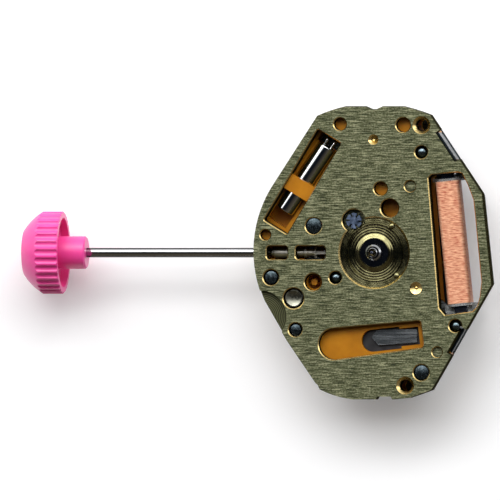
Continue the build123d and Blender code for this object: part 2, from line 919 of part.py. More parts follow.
def hourWheel():
    rim = toothed(hourTeeth, hourModule, (0, 0), hourPhase, -hourRimTop - hourRimThickness, -hourRimTop)
    face = plug((0, 0), hourFaceRadius, -hourRimTop, -hourFaceDepth)
    bead = plug((0, 0), hourFaceRadius, -hourFaceDepth, -hourFaceDepth + hourBeadHeight)
    bead = bead - plug((0, 0), hourFaceRadius - hourBeadWidth, -hourFaceDepth, 0)
    groove = plug((0, 0), hourGrooveRadius, -hourFaceDepth - hourGrooveDepth, 0)
    groove = groove - plug((0, 0), hourConeRadius, -hourFaceDepth - hourGrooveDepth, 0)
    cone = taper(
        (0, 0), hourConeRadius, collarRadius + running, -hourFaceDepth, -hourFaceDepth + hourConeHeight
    )
    top = -hourFaceDepth + hourConeHeight
    body = rim + face + bead - groove + cone
    body = body - plug((0, 0), hubRadius, -plateThickness, overrun)
    return body - plug((0, 0), collarRadius, top - collarThickness, overrun)


def hourPipe():
    top = -hourFaceDepth + hourConeHeight
    hub = plug((0, 0), hubRadius, -recessDepth + running, top - collarThickness)
    collar = plug((0, 0), collarRadius, top - collarThickness, top)
    shoulder = hourPipeHeight - pipeChamfer
    pipe = plug((0, 0), hourPipeRadius, top, shoulder)
    tip = taper((0, 0), hourPipeRadius, hourPipeRadius - pipeChamfer, shoulder, hourPipeHeight)
    return hub + collar + pipe + tip - plug((0, 0), cannonRadius + running, -plateThickness, overrun)


def hourWheelGuard():
    """A thin ring over the teeth of the hour wheel, open where the minute pinion comes in."""
    top = -guardTop
    ring = plug((0, 0), recessRadius - running, top - guardThickness, top)
    ring = ring - plug((0, 0), guardInnerRadius, top - guardThickness, overrun)
    ring = ring - plug(minutePlace, pocketRadius, top - guardThickness, overrun)
    for place in (thirdPlace, fifthPlace):
        spot = away(direction((0, 0), place), (recessRadius + guardInnerRadius) / 2)
        pip = dome(spot, pipRadius, pipHeight, top)
        ring = ring + (pip & plug((0, 0), recessRadius - running, top, overrun))
    return ring


def cannonPinion():
    teeth = toothed(cannonTeeth, motionModule, (0, 0), 0, -motionBottom, -motionTop)
    pipe = plug((0, 0), cannonRadius, -motionTop, cannonHeight - cannonSeatLength)
    seat = pointed(cannonSeatRadius, cannonHeight - cannonSeatLength, cannonHeight)
    return teeth + pipe + seat - plug((0, 0), tubeRadius + running, -motionBottom, cannonHeight)


def minuteWheel():
    wheel = toothed(minuteTeeth, motionModule, minutePlace, minutePhase, -motionBottom, -motionTop)
    return wheel - plug(minutePlace, minuteArborRadius, -motionBottom, -motionTop)


def minutePinion():
    """Slim leaves beside the hour wheel, and full ones over it."""
    floor = -recessDepth + running
    leaves = toothed(minutePinionLeaves, hourModule, minutePlace, minutePinionPhase, floor, -minutePinionTop)
    radius = hourModule * (minutePinionLeaves / 2 + addendumShare)
    full = plug(minutePlace, radius, -hourRimTop + running, -minutePinionTop)
    for number in range(minutePinionLeaves):
        turn = Rot(0, 0, minutePinionPhase + 360 / minutePinionLeaves * (number + 0.5))
        gap = Pos(minutePlace[0], minutePlace[1]) * turn * Pos(radius, 0) * Rectangle(radius, leafGap)
        full = full - slab(gap, -hourRimTop, 0)
    return leaves + full + plug(minutePlace, minuteArborRadius, -minuteArborBottom, floor)


def settingWheel():
    wheel = toothed(settingTeeth, motionModule, settingPlace, settingPhase, -motionBottom, -motionTop)
    return wheel - plug(settingPlace, postRadius + running, -motionBottom, -motionTop)


def settingPost():
    """The post that carries the setting wheel, with a shoulder under it and a head over it."""
    stem = plug(settingPlace, postRadius, -webBottom, -motionTop + running)
    shoulder = plug(settingPlace, postHeadRadius, -webTop, -motionBottom - running)
    head = plug(settingPlace, postHeadRadius, -motionTop + running, -motionTop + running + postHeadHeight)
    return stem + shoulder + head


def centreTube():
    return plug((0, 0), tubeRadius, -webBottom, tubeHeight) - plug(
        (0, 0), secondsRadius + running, -webBottom, tubeHeight
    )


def centreWheel():
    top = -centreWheelTop
    wheel = toothed(centreTeeth, centreModule, (0, 0), centrePhase, top - centreWheelThickness, top)
    hub = plug((0, 0), 2 * tubeRadius, -webTop + running, -motionBottom - running)
    return wheel + hub - plug((0, 0), tubeRadius + running, -webTop, -motionBottom)


def pivots(place, top, bottom):
    """An arbor with a thin pivot at each end."""
    body = plug(place, arborRadius, bottom, top)
    return body + plug(place, pivotRadius, bottom - pivotLength, top + pivotLength)


def trainArbor(place):
    return pivots(place, -plateThickness - running, -bridgeTop + running)


def trainWheel(teeth, module, place, phase, top, radius):
    wheel = toothed(teeth, module, place, phase, -top - wheelThickness, -top)
    return wheel - plug(place, radius, -top - wheelThickness, -top)


def thirdWheel():
    return trainWheel(thirdTeeth, thirdModule, thirdPlace, thirdPhase, thirdWheelTop, arborRadius)


def thirdPinion():
    leaves = toothed(thirdLeaves, centreModule, thirdPlace, 0, -webTop + running, -thirdPinionTop)
    return trainArbor(thirdPlace) + leaves


def secondsWheel():
    return trainWheel(secondsTeeth, secondsModule, (0, 0), 0, secondsWheelTop, secondsRadius)


def secondsArbor():
    top = -secondsWheelTop - wheelThickness
    body = plug((0, 0), secondsRadius, -bridgeTop + running, secondsHeight - secondsSeatLength)
    body = body + pointed(secondsSeatRadius, secondsHeight - secondsSeatLength, secondsHeight)
    body = body + plug((0, 0), pivotRadius, -bridgeTop + running - pivotLength, -bridgeTop + running)
    return body + toothed(secondsLeaves, thirdModule, (0, 0), 0, top - secondsPinionHeight, top)


def fifthWheel():
    return trainWheel(fifthTeeth, fifthModule, fifthPlace, 0, fifthWheelTop, arborRadius)


def fifthArbor():
    top = -fifthWheelTop - wheelThickness
    leaves = toothed(fifthLeaves, secondsModule, fifthPlace, fifthPinionPhase, top - secondsPinionHeight, top)
    return trainArbor(fifthPlace) + leaves


def rotorMagnet():
    return plug(rotorPlace, magnetRadius, -magnetTop - magnetThickness, -magnetTop) - plug(
        rotorPlace, arborRadius, -magnetTop - magnetThickness, -magnetTop
    )


def rotorArbor():
    bottom = -rotorPinionTop - rotorPinionHeight
    leaves = toothed(rotorLeaves, fifthModule, rotorPlace, rotorPhase, bottom, -rotorPinionTop)
    return trainArbor(rotorPlace) + leaves


def stator():
    body = slab(statorFace(0), -statorBottom, -statorTop)
    body = body - plug(rotorPlace, magnetRadius + easy, -statorBottom, -statorTop)
    for place in (coilTop, coilBottom):
        body = body - plug(place, coilScrewRadius, -statorBottom, -statorTop)
    return body


def lying(shape):
    """A shape drawn along Y is laid on the axis of the coil."""
    return Pos(coilPlace[0], coilPlace[1], -coilDepth) * Rot(0, 0, coilTilt) * Rot(-90, 0, 0) * shape


def coilBlock(width, height, corner, length, start):
    face = RectangleRounded(width, height, corner)
    return lying(Pos(0, 0, start) * extrude(face, amount=length))


def coilCore():
    body = slab(bar(coilTop, coilBottom, coreWidth), -statorTop, -coreTop)
    for place in (coilTop, coilBottom):
        body = body - plug(place, coilScrewRadius, -statorTop, -coreTop)
    return body


def coilTube(width, height):
    start = -coilLength / 2 - bobbinThickness
    return coilBlock(width, height, running, coilLength + 2 * bobbinThickness, start)


def coilBobbin():
    width, height = coreWidth + 2 * running, coreThickness + 2 * running
    body = coilTube(width + 2 * bobbinThickness, height + 2 * bobbinThickness)
    for start in (-coilLength / 2 - bobbinThickness, coilLength / 2):
        body = body + coilBlock(coilWidth, coilHeight, coilCorner, bobbinThickness, start)
    ends = bobbinFace(0) - bar(coilTop, coilBottom, coreWidth + 2 * running)
    body = body + slab(ends & inner(spacerInset), -statorTop + running, -plateThickness - running)
    return body - coilTube(width, height)


def coilWinding():
    """The winding as one barrel, because its turns are far too thin to tell apart."""
    width, height = coreWidth + 2 * running, coreThickness + 2 * running
    barrel = coilBlock(coilWidth, coilHeight, coilCorner, coilLength, -coilLength / 2)
    return barrel - coilTube(width + 2 * bobbinThickness, height + 2 * bobbinThickness)


def screw(place, radius, tip, seat, headRadius, headHeight):
    """A screw that comes from below, with its head under the seat."""
    body = plug(place, radius, -seat, -tip) + plug(place, headRadius, -seat - headHeight, -seat)
    slot = Pos(place[0], place[1]) * Rectangle(2 * headRadius, screwSlotWidth)
    return body - slab(slot, -seat - headHeight, -seat - headHeight + screwSlotDepth)


def coilScrews():
    return Compound(children=[
        screw(place, coilScrewRadius, coilScrewTop, statorBottom, coilScrewHeadRadius, coilScrewHeadHeight)
        for place in (coilTop, coilBottom)
    ])


def bridgeScrews():
    tip = webTop + webThickness / 2
    return Compound(children=[
        screw(at(share), screwRadius, tip, bridgeBottom, screwHeadRadius, screwHeadHeight)
        for share in bridgeScrewShares
    ])


def coverScrews():
    return Compound(children=[
        screw(at(share), screwRadius, webBottom, coverTop + coverThickness, screwHeadRadius, screwHeadHeight)
        for share in coverScrewShares
    ])


def stem():
    body = along(stemRadius, bossEnd - crownGripDepth, neckLeft)
    body = body + along(stemNeckRadius, neckLeft, shoulderLeft)
    body = body + along(stemShoulderRadius, shoulderLeft, plainLeft)
    body = body + along(stemPlainRadius, plainLeft, squareLeft)
    square = Box(squareLength, squareSide, squareSide)
    body = body + Pos((squareLeft + squareRight) / 2, 0, -stemDepth) * square
    left, right = grooveMiddle - stemGrooveWidth / 2, grooveMiddle + stemGrooveWidth / 2
    groove = along(stemShoulderRadius + overrun, left, right)
    return body - (groove - along(stemGrooveRadius, shoulderLeft, plainLeft))


def crown():
    start, end = crownFront, crownRim
    shoulder = start + crownShoulder
    slope = direction((start, crownFaceRadius), (shoulder, crownRadius))
    middle = away(slope + 90, crownBulge, ((start + shoulder) / 2, (crownFaceRadius + crownRadius) / 2))
    edges = [
        Line((start, 0), (start, crownFaceRadius)),
        ThreePointArc((start, crownFaceRadius), middle, (shoulder, crownRadius)),
        Line((shoulder, crownRadius), (end - crownRimChamfer, crownRadius)),
        Line((end - crownRimChamfer, crownRadius), (end, crownRadius - crownRimChamfer)),
        Line((end, crownRadius - crownRimChamfer), (end, 0)),
        Line((end, 0), (start, 0)),
    ]
    body = Pos(0, 0, -stemDepth) * revolve(make_face(edges), Axis.X, 360)
    body = body - along(crownRadius - crownWall, end - crownCavityDepth, end + overrun)
    body = body + along(bossRadius, end - crownCavityDepth, bossEnd - bossChamfer)
    tip = Cone(bossRadius, bossRadius - bossChamfer, bossChamfer)
    body = body + Pos(bossEnd - bossChamfer / 2, 0, -stemDepth) * Rot(0, 90, 0) * tip
    body = body - along(stemRadius, bossEnd - crownGripDepth, bossEnd)
    length = crownLength - fluteStart + overrun
    flute = Cylinder(fluteRadius, length, align=(Align.CENTER, Align.CENTER, Align.MIN))
    flute = Rot(0, 90, 0) * flute + Sphere(fluteRadius)
    for number in range(crownFlutes):
        turn = Rot(360 / crownFlutes * number, 0, 0)
        raised = turn * Pos(0, 0, crownRadius + fluteRise) * flute
        body = body - Pos(start + fluteStart, 0, -stemDepth) * raised
    return body


def clutchWheel():
    body = along(clutchNeckRadius, clutchLeft, clutchRight - clutchToothHeight)
    body = body + along(clutchRadius, clutchLeft, clutchLeft + clutchRim)
    inner = clutchRight - clutchToothHeight
    body = body + along(clutchRadius, inner - clutchRim + clutchToothHeight, inner)
    crownRing = along(clutchRadius, inner, clutchRight) - along(clutchNeckRadius, inner, clutchRight)
    width = clutchRadius * sin(radians(180 / clutchTeeth))
    for number in range(clutchTeeth // 2):
        turn = Rot(360 / clutchTeeth * number, 0, 0)
        cut = Pos(inner + clutchToothHeight / 2, 0, -stemDepth) * turn * Box(
            clutchToothHeight, 2 * clutchRadius, width
        )
        crownRing = crownRing - cut
    side = squareSide + 2 * running
    bore = Pos(clutchMiddle, 0, -stemDepth) * Box(clutchLength, side, side)
    return body + crownRing - bore


def yoke():
    body = slab(yokeFace(0), -leverBottom, -leverTop)
    width = clutchLength - 2 * clutchRim - 2 * running
    tab = Pos(clutchMiddle, 0) * Rectangle(width, yokeWidth / 2)
    body = body + slab(tab, -leverTop, -stemDepth - clutchNeckRadius - running)
    for place in (guidePlace, at(smallGuideShare)):
        start = (place[0] - clutchShift, place[1])
        body = body - slab(bar(start, place, 2 * (guideStemRadius + running)), -leverBottom, -leverTop)
    return body


def guidePins():
    """Two shouldered pins in the web that guide the yoke."""
    long = plug(guidePlace, guideStemRadius, -webBottom, -leverTop + running)
    long = long + plug(guidePlace, guidePinRadius, -leverTop + running, -pinTopDepth - guidePinRadius / 2)
    long = long + dome(guidePlace, guidePinRadius, guidePinRadius / 2, -pinTopDepth - guidePinRadius / 2)
    place = at(smallGuideShare)
    short = plug(place, guideStemRadius, -webBottom, -leverTop + running)
    short = short + plug(place, guideHeadRadius, -leverTop + running, -leverTop + running + guideHeadHeight)
    return Compound(children=[long, short])


def settingLever():
    body = slab(leverFace(0, 0), -leverBottom, -leverTop)
    nose = stemDepth + stemGrooveRadius + running
    body = body + plug(nosePlace, nosePinRadius, -leverTop, -nose)
    return body - plug(leverPlace, leverAxleRadius + running, -leverBottom, -leverTop)


def settingLeverAxle():
    """The lever turns on the thin part; the head is dished."""
    body = plug(leverPlace, leverAxleRadius, -webBottom, -leverHeadTop - leverHeadHeight)
    body = body + plug(leverPlace, leverHeadRadius, -leverHeadTop - leverHeadHeight, -leverHeadTop)
    return body - dish(leverPlace, leverDishRadius, leverDishDepth, -leverHeadTop)


def settingJumper():
    x, y, size, pinSize = pinShares[jumperPin]
    hole = plug(at((x, y)), pinRadius(size, pinSize), -leverBottom, -leverTop)
    return slab(jumperFace(0), -leverBottom, -leverTop) - hole


def crystalCan():
    can = canSpace(crystalRadius, crystalLength)
    return fillet(can.edges(), crystalRadius / 6)


def crystalLeads():
    """Two wires that leave the can and bend down to the circuit board."""
    leads = []
    for side in (-leadSpacing / 2, leadSpacing / 2):
        end = leadLength - leadRadius * 3
        path = FilletPolyline(
            (crystalLength / 2, side, 0),
            (crystalLength / 2 + end, side, 0),
            (crystalLength / 2 + end, side, crystalDepth - spacerBottom),
            radius=leadRadius * 2,
        )
        wire = sweep(Plane(path @ 0, z_dir=path % 0) * Circle(leadRadius), path=path)
        leads.append(Pos(crystalPlace[0], crystalPlace[1], -crystalDepth) * Rot(0, 0, crystalAngle) * wire)
    return Compound(children=leads)


def contactInsulator():
    bottom = -insulatorTop - insulatorThickness
    return slab(insulatorFace(running), bottom, -insulatorTop) - plug(
        at(contactFootShare), contactFootRadius + slack, bottom, -insulatorTop
    )


def batteryContact():
    """A leaf over the insulator, with a foot that presses on the battery's cap."""
    leaf = slab(polygon([at(share) for share in contactShares]), -contactTop - contactThickness, -contactTop)
    return leaf + plug(at(contactFootShare), contactFootRadius, -batteryTop, -contactTop - contactThickness)


def batteryCan():
    inside = batteryCapRadius + batterySealWidth
    can = plug(batteryPlace, batteryRadius, -batteryTop - batteryThickness, -batteryTop - batteryLip)
    return can - plug(batteryPlace, inside, -batteryTop - batteryCapHeight, -batteryTop - batteryLip)


def batteryCap():
    return plug(batteryPlace, batteryCapRadius, -batteryTop - batteryCapHeight, -batteryTop)


def batterySeal():
    outer = batteryCapRadius + batterySealWidth
    bottom = -batteryTop - batteryCapHeight
    return plug(batteryPlace, outer, bottom, -batteryTop - batteryLip / 2) - plug(
        batteryPlace, batteryCapRadius, bottom, -batteryTop
    )


def circuitBoard():
    body = slab(polygon([at(share) for share in boardShares]), -boardBottom, -spacerBottom)
    body = body & slab(inner(spacerInset), -boardBottom, -spacerBottom)
    for space in armSpace():
        body = body - space
    return body - plug(at(coverScrewShares[0]), screwBossRadius + slack, -boardBottom, -spacerBottom)


def circuitChip():
    place = at(chipShare)
    return Pos(place[0], place[1], -boardBottom - chipHeight / 2) * Box(chipSide, chipSide, chipHeight)


def trainBridge():
    body = slab(polygon([at(share) for share in bridgeShares]), -bridgeBottom, -bridgeTop)
    for place in ((0, 0), thirdPlace, fifthPlace, rotorPlace):
        body = body - plug(place, jewelRadius, -bridgeBottom, -bridgeTop)
    for share in bridgeScrewShares:
        body = body - plug(at(share), screwRadius, -bridgeBottom, -bridgeTop)
    return body


def trainJewels():
    return Compound(children=[
        plug(place, jewelRadius, -bridgeBottom, -bridgeTop)
        - plug(place, pivotRadius + running, -bridgeBottom, -bridgeTop)
        for place in ((0, 0), thirdPlace, fifthPlace, rotorPlace)
    ])


def plateBushes():
    """Bearings in the plate; the rotor's shows in a dish, with a small cap over its pivot."""
    bushes = []
    for place in (thirdPlace, fifthPlace):
        bushes.append(plug(place, bushRadius, -plateThickness, -recessDepth - bushCover))
    shown = plug(rotorPlace, bushRadius, -plateThickness, 0) - rotorDish()
    bushes.append(shown + dome(rotorPlace, dishFloorRadius, capHeight, -bushTopDepth))
    holes = [
        plug(place, pivotRadius + running, -plateThickness, pivotLength - plateThickness)
        for place in (thirdPlace, fifthPlace, rotorPlace)
    ]
    return Compound(children=[bush - hole for bush, hole in zip(bushes, holes)])


def platePins():
    pins = []
    for (x, y, size, pinSize), share in zip(pinShares, pinDomeShares):
        radius = pinRadius(size, pinSize)
        shoulder = -pinTopDepth - radius * share
        pin = plug(at((x, y)), radius, -spacerBottom, shoulder)
        pins.append(pin + dome(at((x, y)), radius, radius * share, shoulder))
    return Compound(children=pins)


def backCover():
    """A thin sheet with a hole for the battery and two arms that end in the plate's edge notches."""
    bottom = -coverTop - coverThickness
    body = slab(inner(spacerInset), bottom, -coverTop)
    body = body - plug(batteryPlace, batteryRadius + easy, bottom, -coverTop)
    shown, hidden = spacerInset - running - armThickness, spacerInset + slack
    under = -plateThickness - running
    for side, top in ((springSide, armTop), (catchSide, catchTop)):
        body = body + slab(side(hidden + armThickness, hidden, easy), bottom, under)
        body = body + slab(side(hidden + armThickness, shown, easy), under - armThickness, under)
        body = body + slab(side(shown + armThickness, shown, easy), under - armThickness, -top)
    opening = Pos(coverGapStart + coilWidth / 2, 0) * Rectangle(coilWidth, coilLength)
    opening = Pos(coilPlace[0], coilPlace[1]) * Rot(0, 0, coilTilt) * opening
    body = body - slab(opening & coilWindow(), bottom, -coverTop)
    for place in (coilTop, coilBottom):
        body = body - plug(place, coilScrewHeadRadius + slack, bottom, -coilScrewTop + slack)
    for x, y, size, pinSize in pinShares:
        body = body - plug(at((x, y)), pinRadius(size, pinSize) + slack, -spacerBottom - slack, -armTop)
    for share in coverScrewShares:
        body = body - plug(at(share), screwRadius, bottom, -coverTop)
    return body


parts = {
    "main_plate": mainPlate,
    "circuit_spacer": circuitSpacer,
    "hour_wheel": hourWheel,
    "hour_pipe": hourPipe,
    "hour_wheel_guard": hourWheelGuard,
    "cannon_pinion": cannonPinion,
    "minute_wheel": minuteWheel,
    "minute_pinion": minutePinion,
    "setting_wheel": settingWheel,
    "setting_post": settingPost,
    "centre_tube": centreTube,
    "centre_wheel": centreWheel,
    "third_wheel": thirdWheel,
    "third_pinion": thirdPinion,
    "seconds_wheel": secondsWheel,
    "seconds_arbor": secondsArbor,
    "fifth_wheel": fifthWheel,
    "fifth_arbor": fifthArbor,
    "rotor_magnet": rotorMagnet,
    "rotor_arbor": rotorArbor,
    "stator": stator,
    "coil_core": coilCore,
    "coil_winding": coilWinding,
    "coil_bobbin": coilBobbin,
    "coil_screws": coilScrews,
    "stem": stem,
    "crown": crown,
    "clutch_wheel": clutchWheel,
    "yoke": yoke,
    "guide_pins": guidePins,
    "setting_lever": settingLever,
    "setting_lever_axle": settingLeverAxle,
    "setting_jumper": settingJumper,
    "crystal_can": crystalCan,
    "crystal_leads": crystalLeads,
    "battery_contact": batteryContact,
    "contact_insulator": contactInsulator,
    "battery_can": batteryCan,
    "battery_cap": batteryCap,
    "battery_seal": batterySeal,
    "circuit_board": circuitBoard,
    "circuit_chip": circuitChip,
    "train_bridge": trainBridge,
    "train_jewels": trainJewels,
    "bridge_screws": bridgeScrews,
    "plate_bushes": plateBushes,
    "plate_pins": platePins,
    "back_cover": backCover,
    "cover_screws": coverScrews,
}
for name, build in parts.items():
    export_step(build(), f"parts/{name}.step")
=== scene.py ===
from math import pi, radians, tan

import bpy
from mathutils import Matrix, Vector

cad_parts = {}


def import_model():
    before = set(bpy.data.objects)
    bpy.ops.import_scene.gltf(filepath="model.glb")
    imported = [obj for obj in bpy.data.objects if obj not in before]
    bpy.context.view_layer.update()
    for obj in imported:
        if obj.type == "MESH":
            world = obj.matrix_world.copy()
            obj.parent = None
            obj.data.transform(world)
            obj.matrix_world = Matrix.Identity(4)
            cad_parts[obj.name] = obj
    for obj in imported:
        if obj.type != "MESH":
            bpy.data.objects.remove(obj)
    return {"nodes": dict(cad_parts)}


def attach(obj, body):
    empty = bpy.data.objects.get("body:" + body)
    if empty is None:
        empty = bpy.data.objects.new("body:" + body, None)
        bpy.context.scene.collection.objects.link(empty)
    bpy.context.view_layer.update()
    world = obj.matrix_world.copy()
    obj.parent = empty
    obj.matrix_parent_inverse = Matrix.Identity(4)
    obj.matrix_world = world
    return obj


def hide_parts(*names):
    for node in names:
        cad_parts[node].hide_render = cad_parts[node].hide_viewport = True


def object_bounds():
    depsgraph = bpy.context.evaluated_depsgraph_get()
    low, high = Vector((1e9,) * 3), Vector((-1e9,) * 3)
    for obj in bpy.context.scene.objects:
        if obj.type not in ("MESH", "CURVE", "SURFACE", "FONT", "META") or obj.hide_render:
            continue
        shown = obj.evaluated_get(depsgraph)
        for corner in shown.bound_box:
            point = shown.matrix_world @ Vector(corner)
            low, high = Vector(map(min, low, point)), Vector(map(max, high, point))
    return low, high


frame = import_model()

cadLow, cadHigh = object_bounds()
nodes = frame["nodes"]
mm = 0.001
print("frame loaded", len(nodes), "nodes")


# Small helpers for materials

def newMaterial(name, colour, metallic, rough):
    material = bpy.data.materials.new(name)
    material.use_nodes = True
    tree = material.node_tree
    shader = tree.nodes["Principled BSDF"]
    shader.inputs["Base Color"].default_value = (*colour, 1)
    shader.inputs["Metallic"].default_value = metallic
    shader.inputs["Roughness"].default_value = rough
    return material, tree, shader


def placeOn(tree, stretch, centre=(0, 0, 0)):
    coord = tree.nodes.new("ShaderNodeTexCoord")
    shift = tree.nodes.new("ShaderNodeMapping")
    shift.inputs["Location"].default_value = [-value for value in centre]
    tree.links.new(coord.outputs["Object"], shift.inputs["Vector"])
    scale = tree.nodes.new("ShaderNodeMapping")
    scale.vector_type = "TEXTURE"
    scale.inputs["Scale"].default_value = [1 / value for value in stretch]
    tree.links.new(shift.outputs["Vector"], scale.inputs["Vector"])
    return scale.outputs["Vector"]


def split(tree, vector):
    parts = tree.nodes.new("ShaderNodeSeparateXYZ")
    tree.links.new(vector, parts.inputs["Vector"])
    return parts.outputs


def coordinates(tree, kind):
    coord = tree.nodes.new("ShaderNodeTexCoord")
    return split(tree, coord.outputs[kind])


def noise(tree, stretch, detail, rough=0.5):
    if isinstance(stretch, int):  # the same in all directions
        stretch = (stretch,) * 3
    texture = tree.nodes.new("ShaderNodeTexNoise")
    texture.inputs["Scale"].default_value = 1
    texture.inputs["Detail"].default_value = detail
    texture.inputs["Roughness"].default_value = rough
    tree.links.new(placeOn(tree, stretch), texture.inputs["Vector"])
    return texture.outputs["Fac"]


def ramp(tree, value, stops):
    node = tree.nodes.new("ShaderNodeValToRGB")
    elements = node.color_ramp.elements
    while len(elements) < len(stops):
        elements.new(0.5)
    for element, (place, colour) in zip(elements, stops):
        element.position = place
        element.color = (*colour, 1)
    tree.links.new(value, node.inputs["Fac"])
    return node.outputs["Color"]


def ranged(tree, value, low, high, fromLow=0.3, fromHigh=0.7):  # noise lies between these two
    node = tree.nodes.new("ShaderNodeMapRange")
    node.inputs["From Min"].default_value = fromLow
    node.inputs["From Max"].default_value = fromHigh
    node.inputs["To Min"].default_value = low
    node.inputs["To Max"].default_value = high
    tree.links.new(value, node.inputs["Value"])
    return node.outputs["Result"]


def calculate(tree, kind, *values):
    node = tree.nodes.new("ShaderNodeMath")
    node.operation = kind
    for socket, value in zip(node.inputs, values):
        if isinstance(value, (int, float)):
            socket.default_value = value
        else:
            tree.links.new(value, socket)
    return node.outputs["Value"]


def blended(tree, share, first, second):
    node = tree.nodes.new("ShaderNodeMix")
    node.data_type = "RGBA"
    sockets = [socket for socket in node.inputs if socket.enabled]
    for socket, value in zip(sockets, (share, first, second)):
        if isinstance(value, tuple):
            socket.default_value = (*value, 1)
        else:
            tree.links.new(value, socket)
    return [socket for socket in node.outputs if socket.enabled][0]


def bump(tree, shader, height, depth, strength):
    node = tree.nodes.new("ShaderNodeBump")
    node.inputs["Strength"].default_value = strength
    node.inputs["Distance"].default_value = depth
    tree.links.new(height, node.inputs["Height"])
    tree.links.new(node.outputs["Normal"], shader.inputs["Normal"])


def radius(tree, centre):
    parts = split(tree, placeOn(tree, (1, 1, 1), centre))
    squares = [calculate(tree, "POWER", parts[axis], 2.0) for axis in ("X", "Y")]
    return calculate(tree, "SQRT", calculate(tree, "ADD", *squares))


def rings(tree, centre, pitch):
    return calculate(tree, "SINE", calculate(tree, "MULTIPLY", radius(tree, centre), 2 * pi / pitch))


# The plate

plateLook = {
    "olive": ((0.014, 0.018, 0.006), (0.1, 0.11, 0.05), (0.4, 0.4, 0.235)),
    "oliveStops": (0.38, 0.5, 0.62),
    "streak": {"stretch": (1100, 17000, 1100), "detail": 3, "rough": 0.6, "share": 0.7},
    "speckle": {"stretch": (9000, 12000, 9000), "detail": 2, "rough": 0.5, "share": 0.3},
    "depth": 0.012 * mm,
    "strength": 0.8,
    # painted shade: a near-black colour on the steep walls of holes and edges, and a dark gloss tint there
    "wall": (0.05, 0.045, 0.02),
    "wallShadeTint": (0.12, 0.11, 0.07),
    "gold": (0.9, 0.68, 0.28),  # on the polished edges
    "edgeFrom": (0.3, 0.6),  # how far a face looks up, here and for the flat
    "flatFrom": (0.93, 0.97),
    "metallic": {"flat": 0.5, "edge": 1.0},
    "rough": {"flat": 0.46, "edge": 0.16, "wall": 0.5},
    "pocket": {  # the turned recess at the plate's left edge
        "centre": (-7.23 * mm, -4.03 * mm, 0),
        "radius": (1.6236 * mm, 1.64 * mm),
        "pitch": 0.11 * mm,
        "share": 0.35,
        "tone": (0.12, 0.12, 0.05),
        "stops": (0.2, 0.9),
    },
}


def brushMarks(tree, look):
    marks = noise(tree, look["stretch"], look["detail"], look["rough"])
    return calculate(tree, "MULTIPLY", marks, look["share"])


def bronzePlate():
    look, pocket = plateLook, plateLook["pocket"]
    rough, metallic = look["rough"], look["metallic"]
    material, tree, shader = newMaterial("bronzePlate", look["olive"][1], metallic["flat"], rough["flat"])
    grain = calculate(tree, "ADD", brushMarks(tree, look["streak"]), brushMarks(tree, look["speckle"]))
    brushed = ramp(tree, grain, list(zip(look["oliveStops"], look["olive"])))
    turned = rings(tree, pocket["centre"], pocket["pitch"])
    inside = ranged(tree, radius(tree, pocket["centre"]), 1, 0, *pocket["radius"])
    circles = ramp(tree, ranged(tree, turned, 0, 1, -1, 1),
                   list(zip(pocket["stops"], (look["olive"][0], pocket["tone"]))))
    top = blended(tree, inside, brushed, circles)

    up = calculate(tree, "ABSOLUTE", coordinates(tree, "Normal")["Z"])
    flat = ranged(tree, up, 0, 1, *look["flatFrom"])
    # steep walls take the painted shade colour, sloped polished edges the gold
    goldEdgesAndShadedWalls = ramp(tree, up, list(zip(look["edgeFrom"], (look["wall"], look["gold"]))))
    tree.links.new(blended(tree, flat, goldEdgesAndShadedWalls, top), shader.inputs["Base Color"])
    # painted shade: the gloss on walls and edges is tinted dark
    wallGlossShade = blended(tree, flat, look["wallShadeTint"], (1, 1, 1))
    tree.links.new(wallGlossShade, shader.inputs["Specular Tint"])
    tree.links.new(ranged(tree, flat, metallic["edge"], metallic["flat"], 0, 1), shader.inputs["Metallic"])
    sideRough = ranged(tree, up, rough["wall"], rough["edge"], *look["edgeFrom"])
    tree.links.new(blended(tree, flat, sideRough, (rough["flat"],) * 3), shader.inputs["Roughness"])
    grooves = calculate(tree, "MULTIPLY", calculate(tree, "MULTIPLY", turned, inside), pocket["share"])
    bump(tree, shader, calculate(tree, "ADD", grain, grooves), look["depth"], look["strength"])
    return material


# The spacer

amberLook = {
    "tones": ((0.36, 0.135, 0.003), (0.43, 0.165, 0.004), (0.49, 0.2, 0.007)),
    "stops": (0.3, 0.55, 0.75),
    "cloud": 900,
    "cloudDetail": 4,
    "rough": 0.36,
    "specular": 0.35,
    "inner": 0.2,
    "innerReach": (0.4 * mm, 0.16 * mm, 0.04 * mm),
    "grain": 9000,
    "grainDetail": 2,
    "depth": 0.006 * mm,
    "strength": 0.5,
}


def amberPlastic():
    look = amberLook
    material, tree, shader = newMaterial("amberPlastic", look["tones"][1], 0.0, look["rough"])
    cloud = noise(tree, look["cloud"], look["cloudDetail"])
    tone = ramp(tree, cloud, list(zip(look["stops"], look["tones"])))
    tree.links.new(tone, shader.inputs["Base Color"])
    shader.inputs["Specular IOR Level"].default_value = look["specular"]
    shader.inputs["Subsurface Weight"].default_value = look["inner"]
    shader.inputs["Subsurface Radius"].default_value = look["innerReach"]
    grain = noise(tree, look["grain"], look["grainDetail"])
    bump(tree, shader, grain, look["depth"], look["strength"])
    return material


# Metals: dark and light tone, roughness, then stretch of the grain, its depth in mm and the metallic share

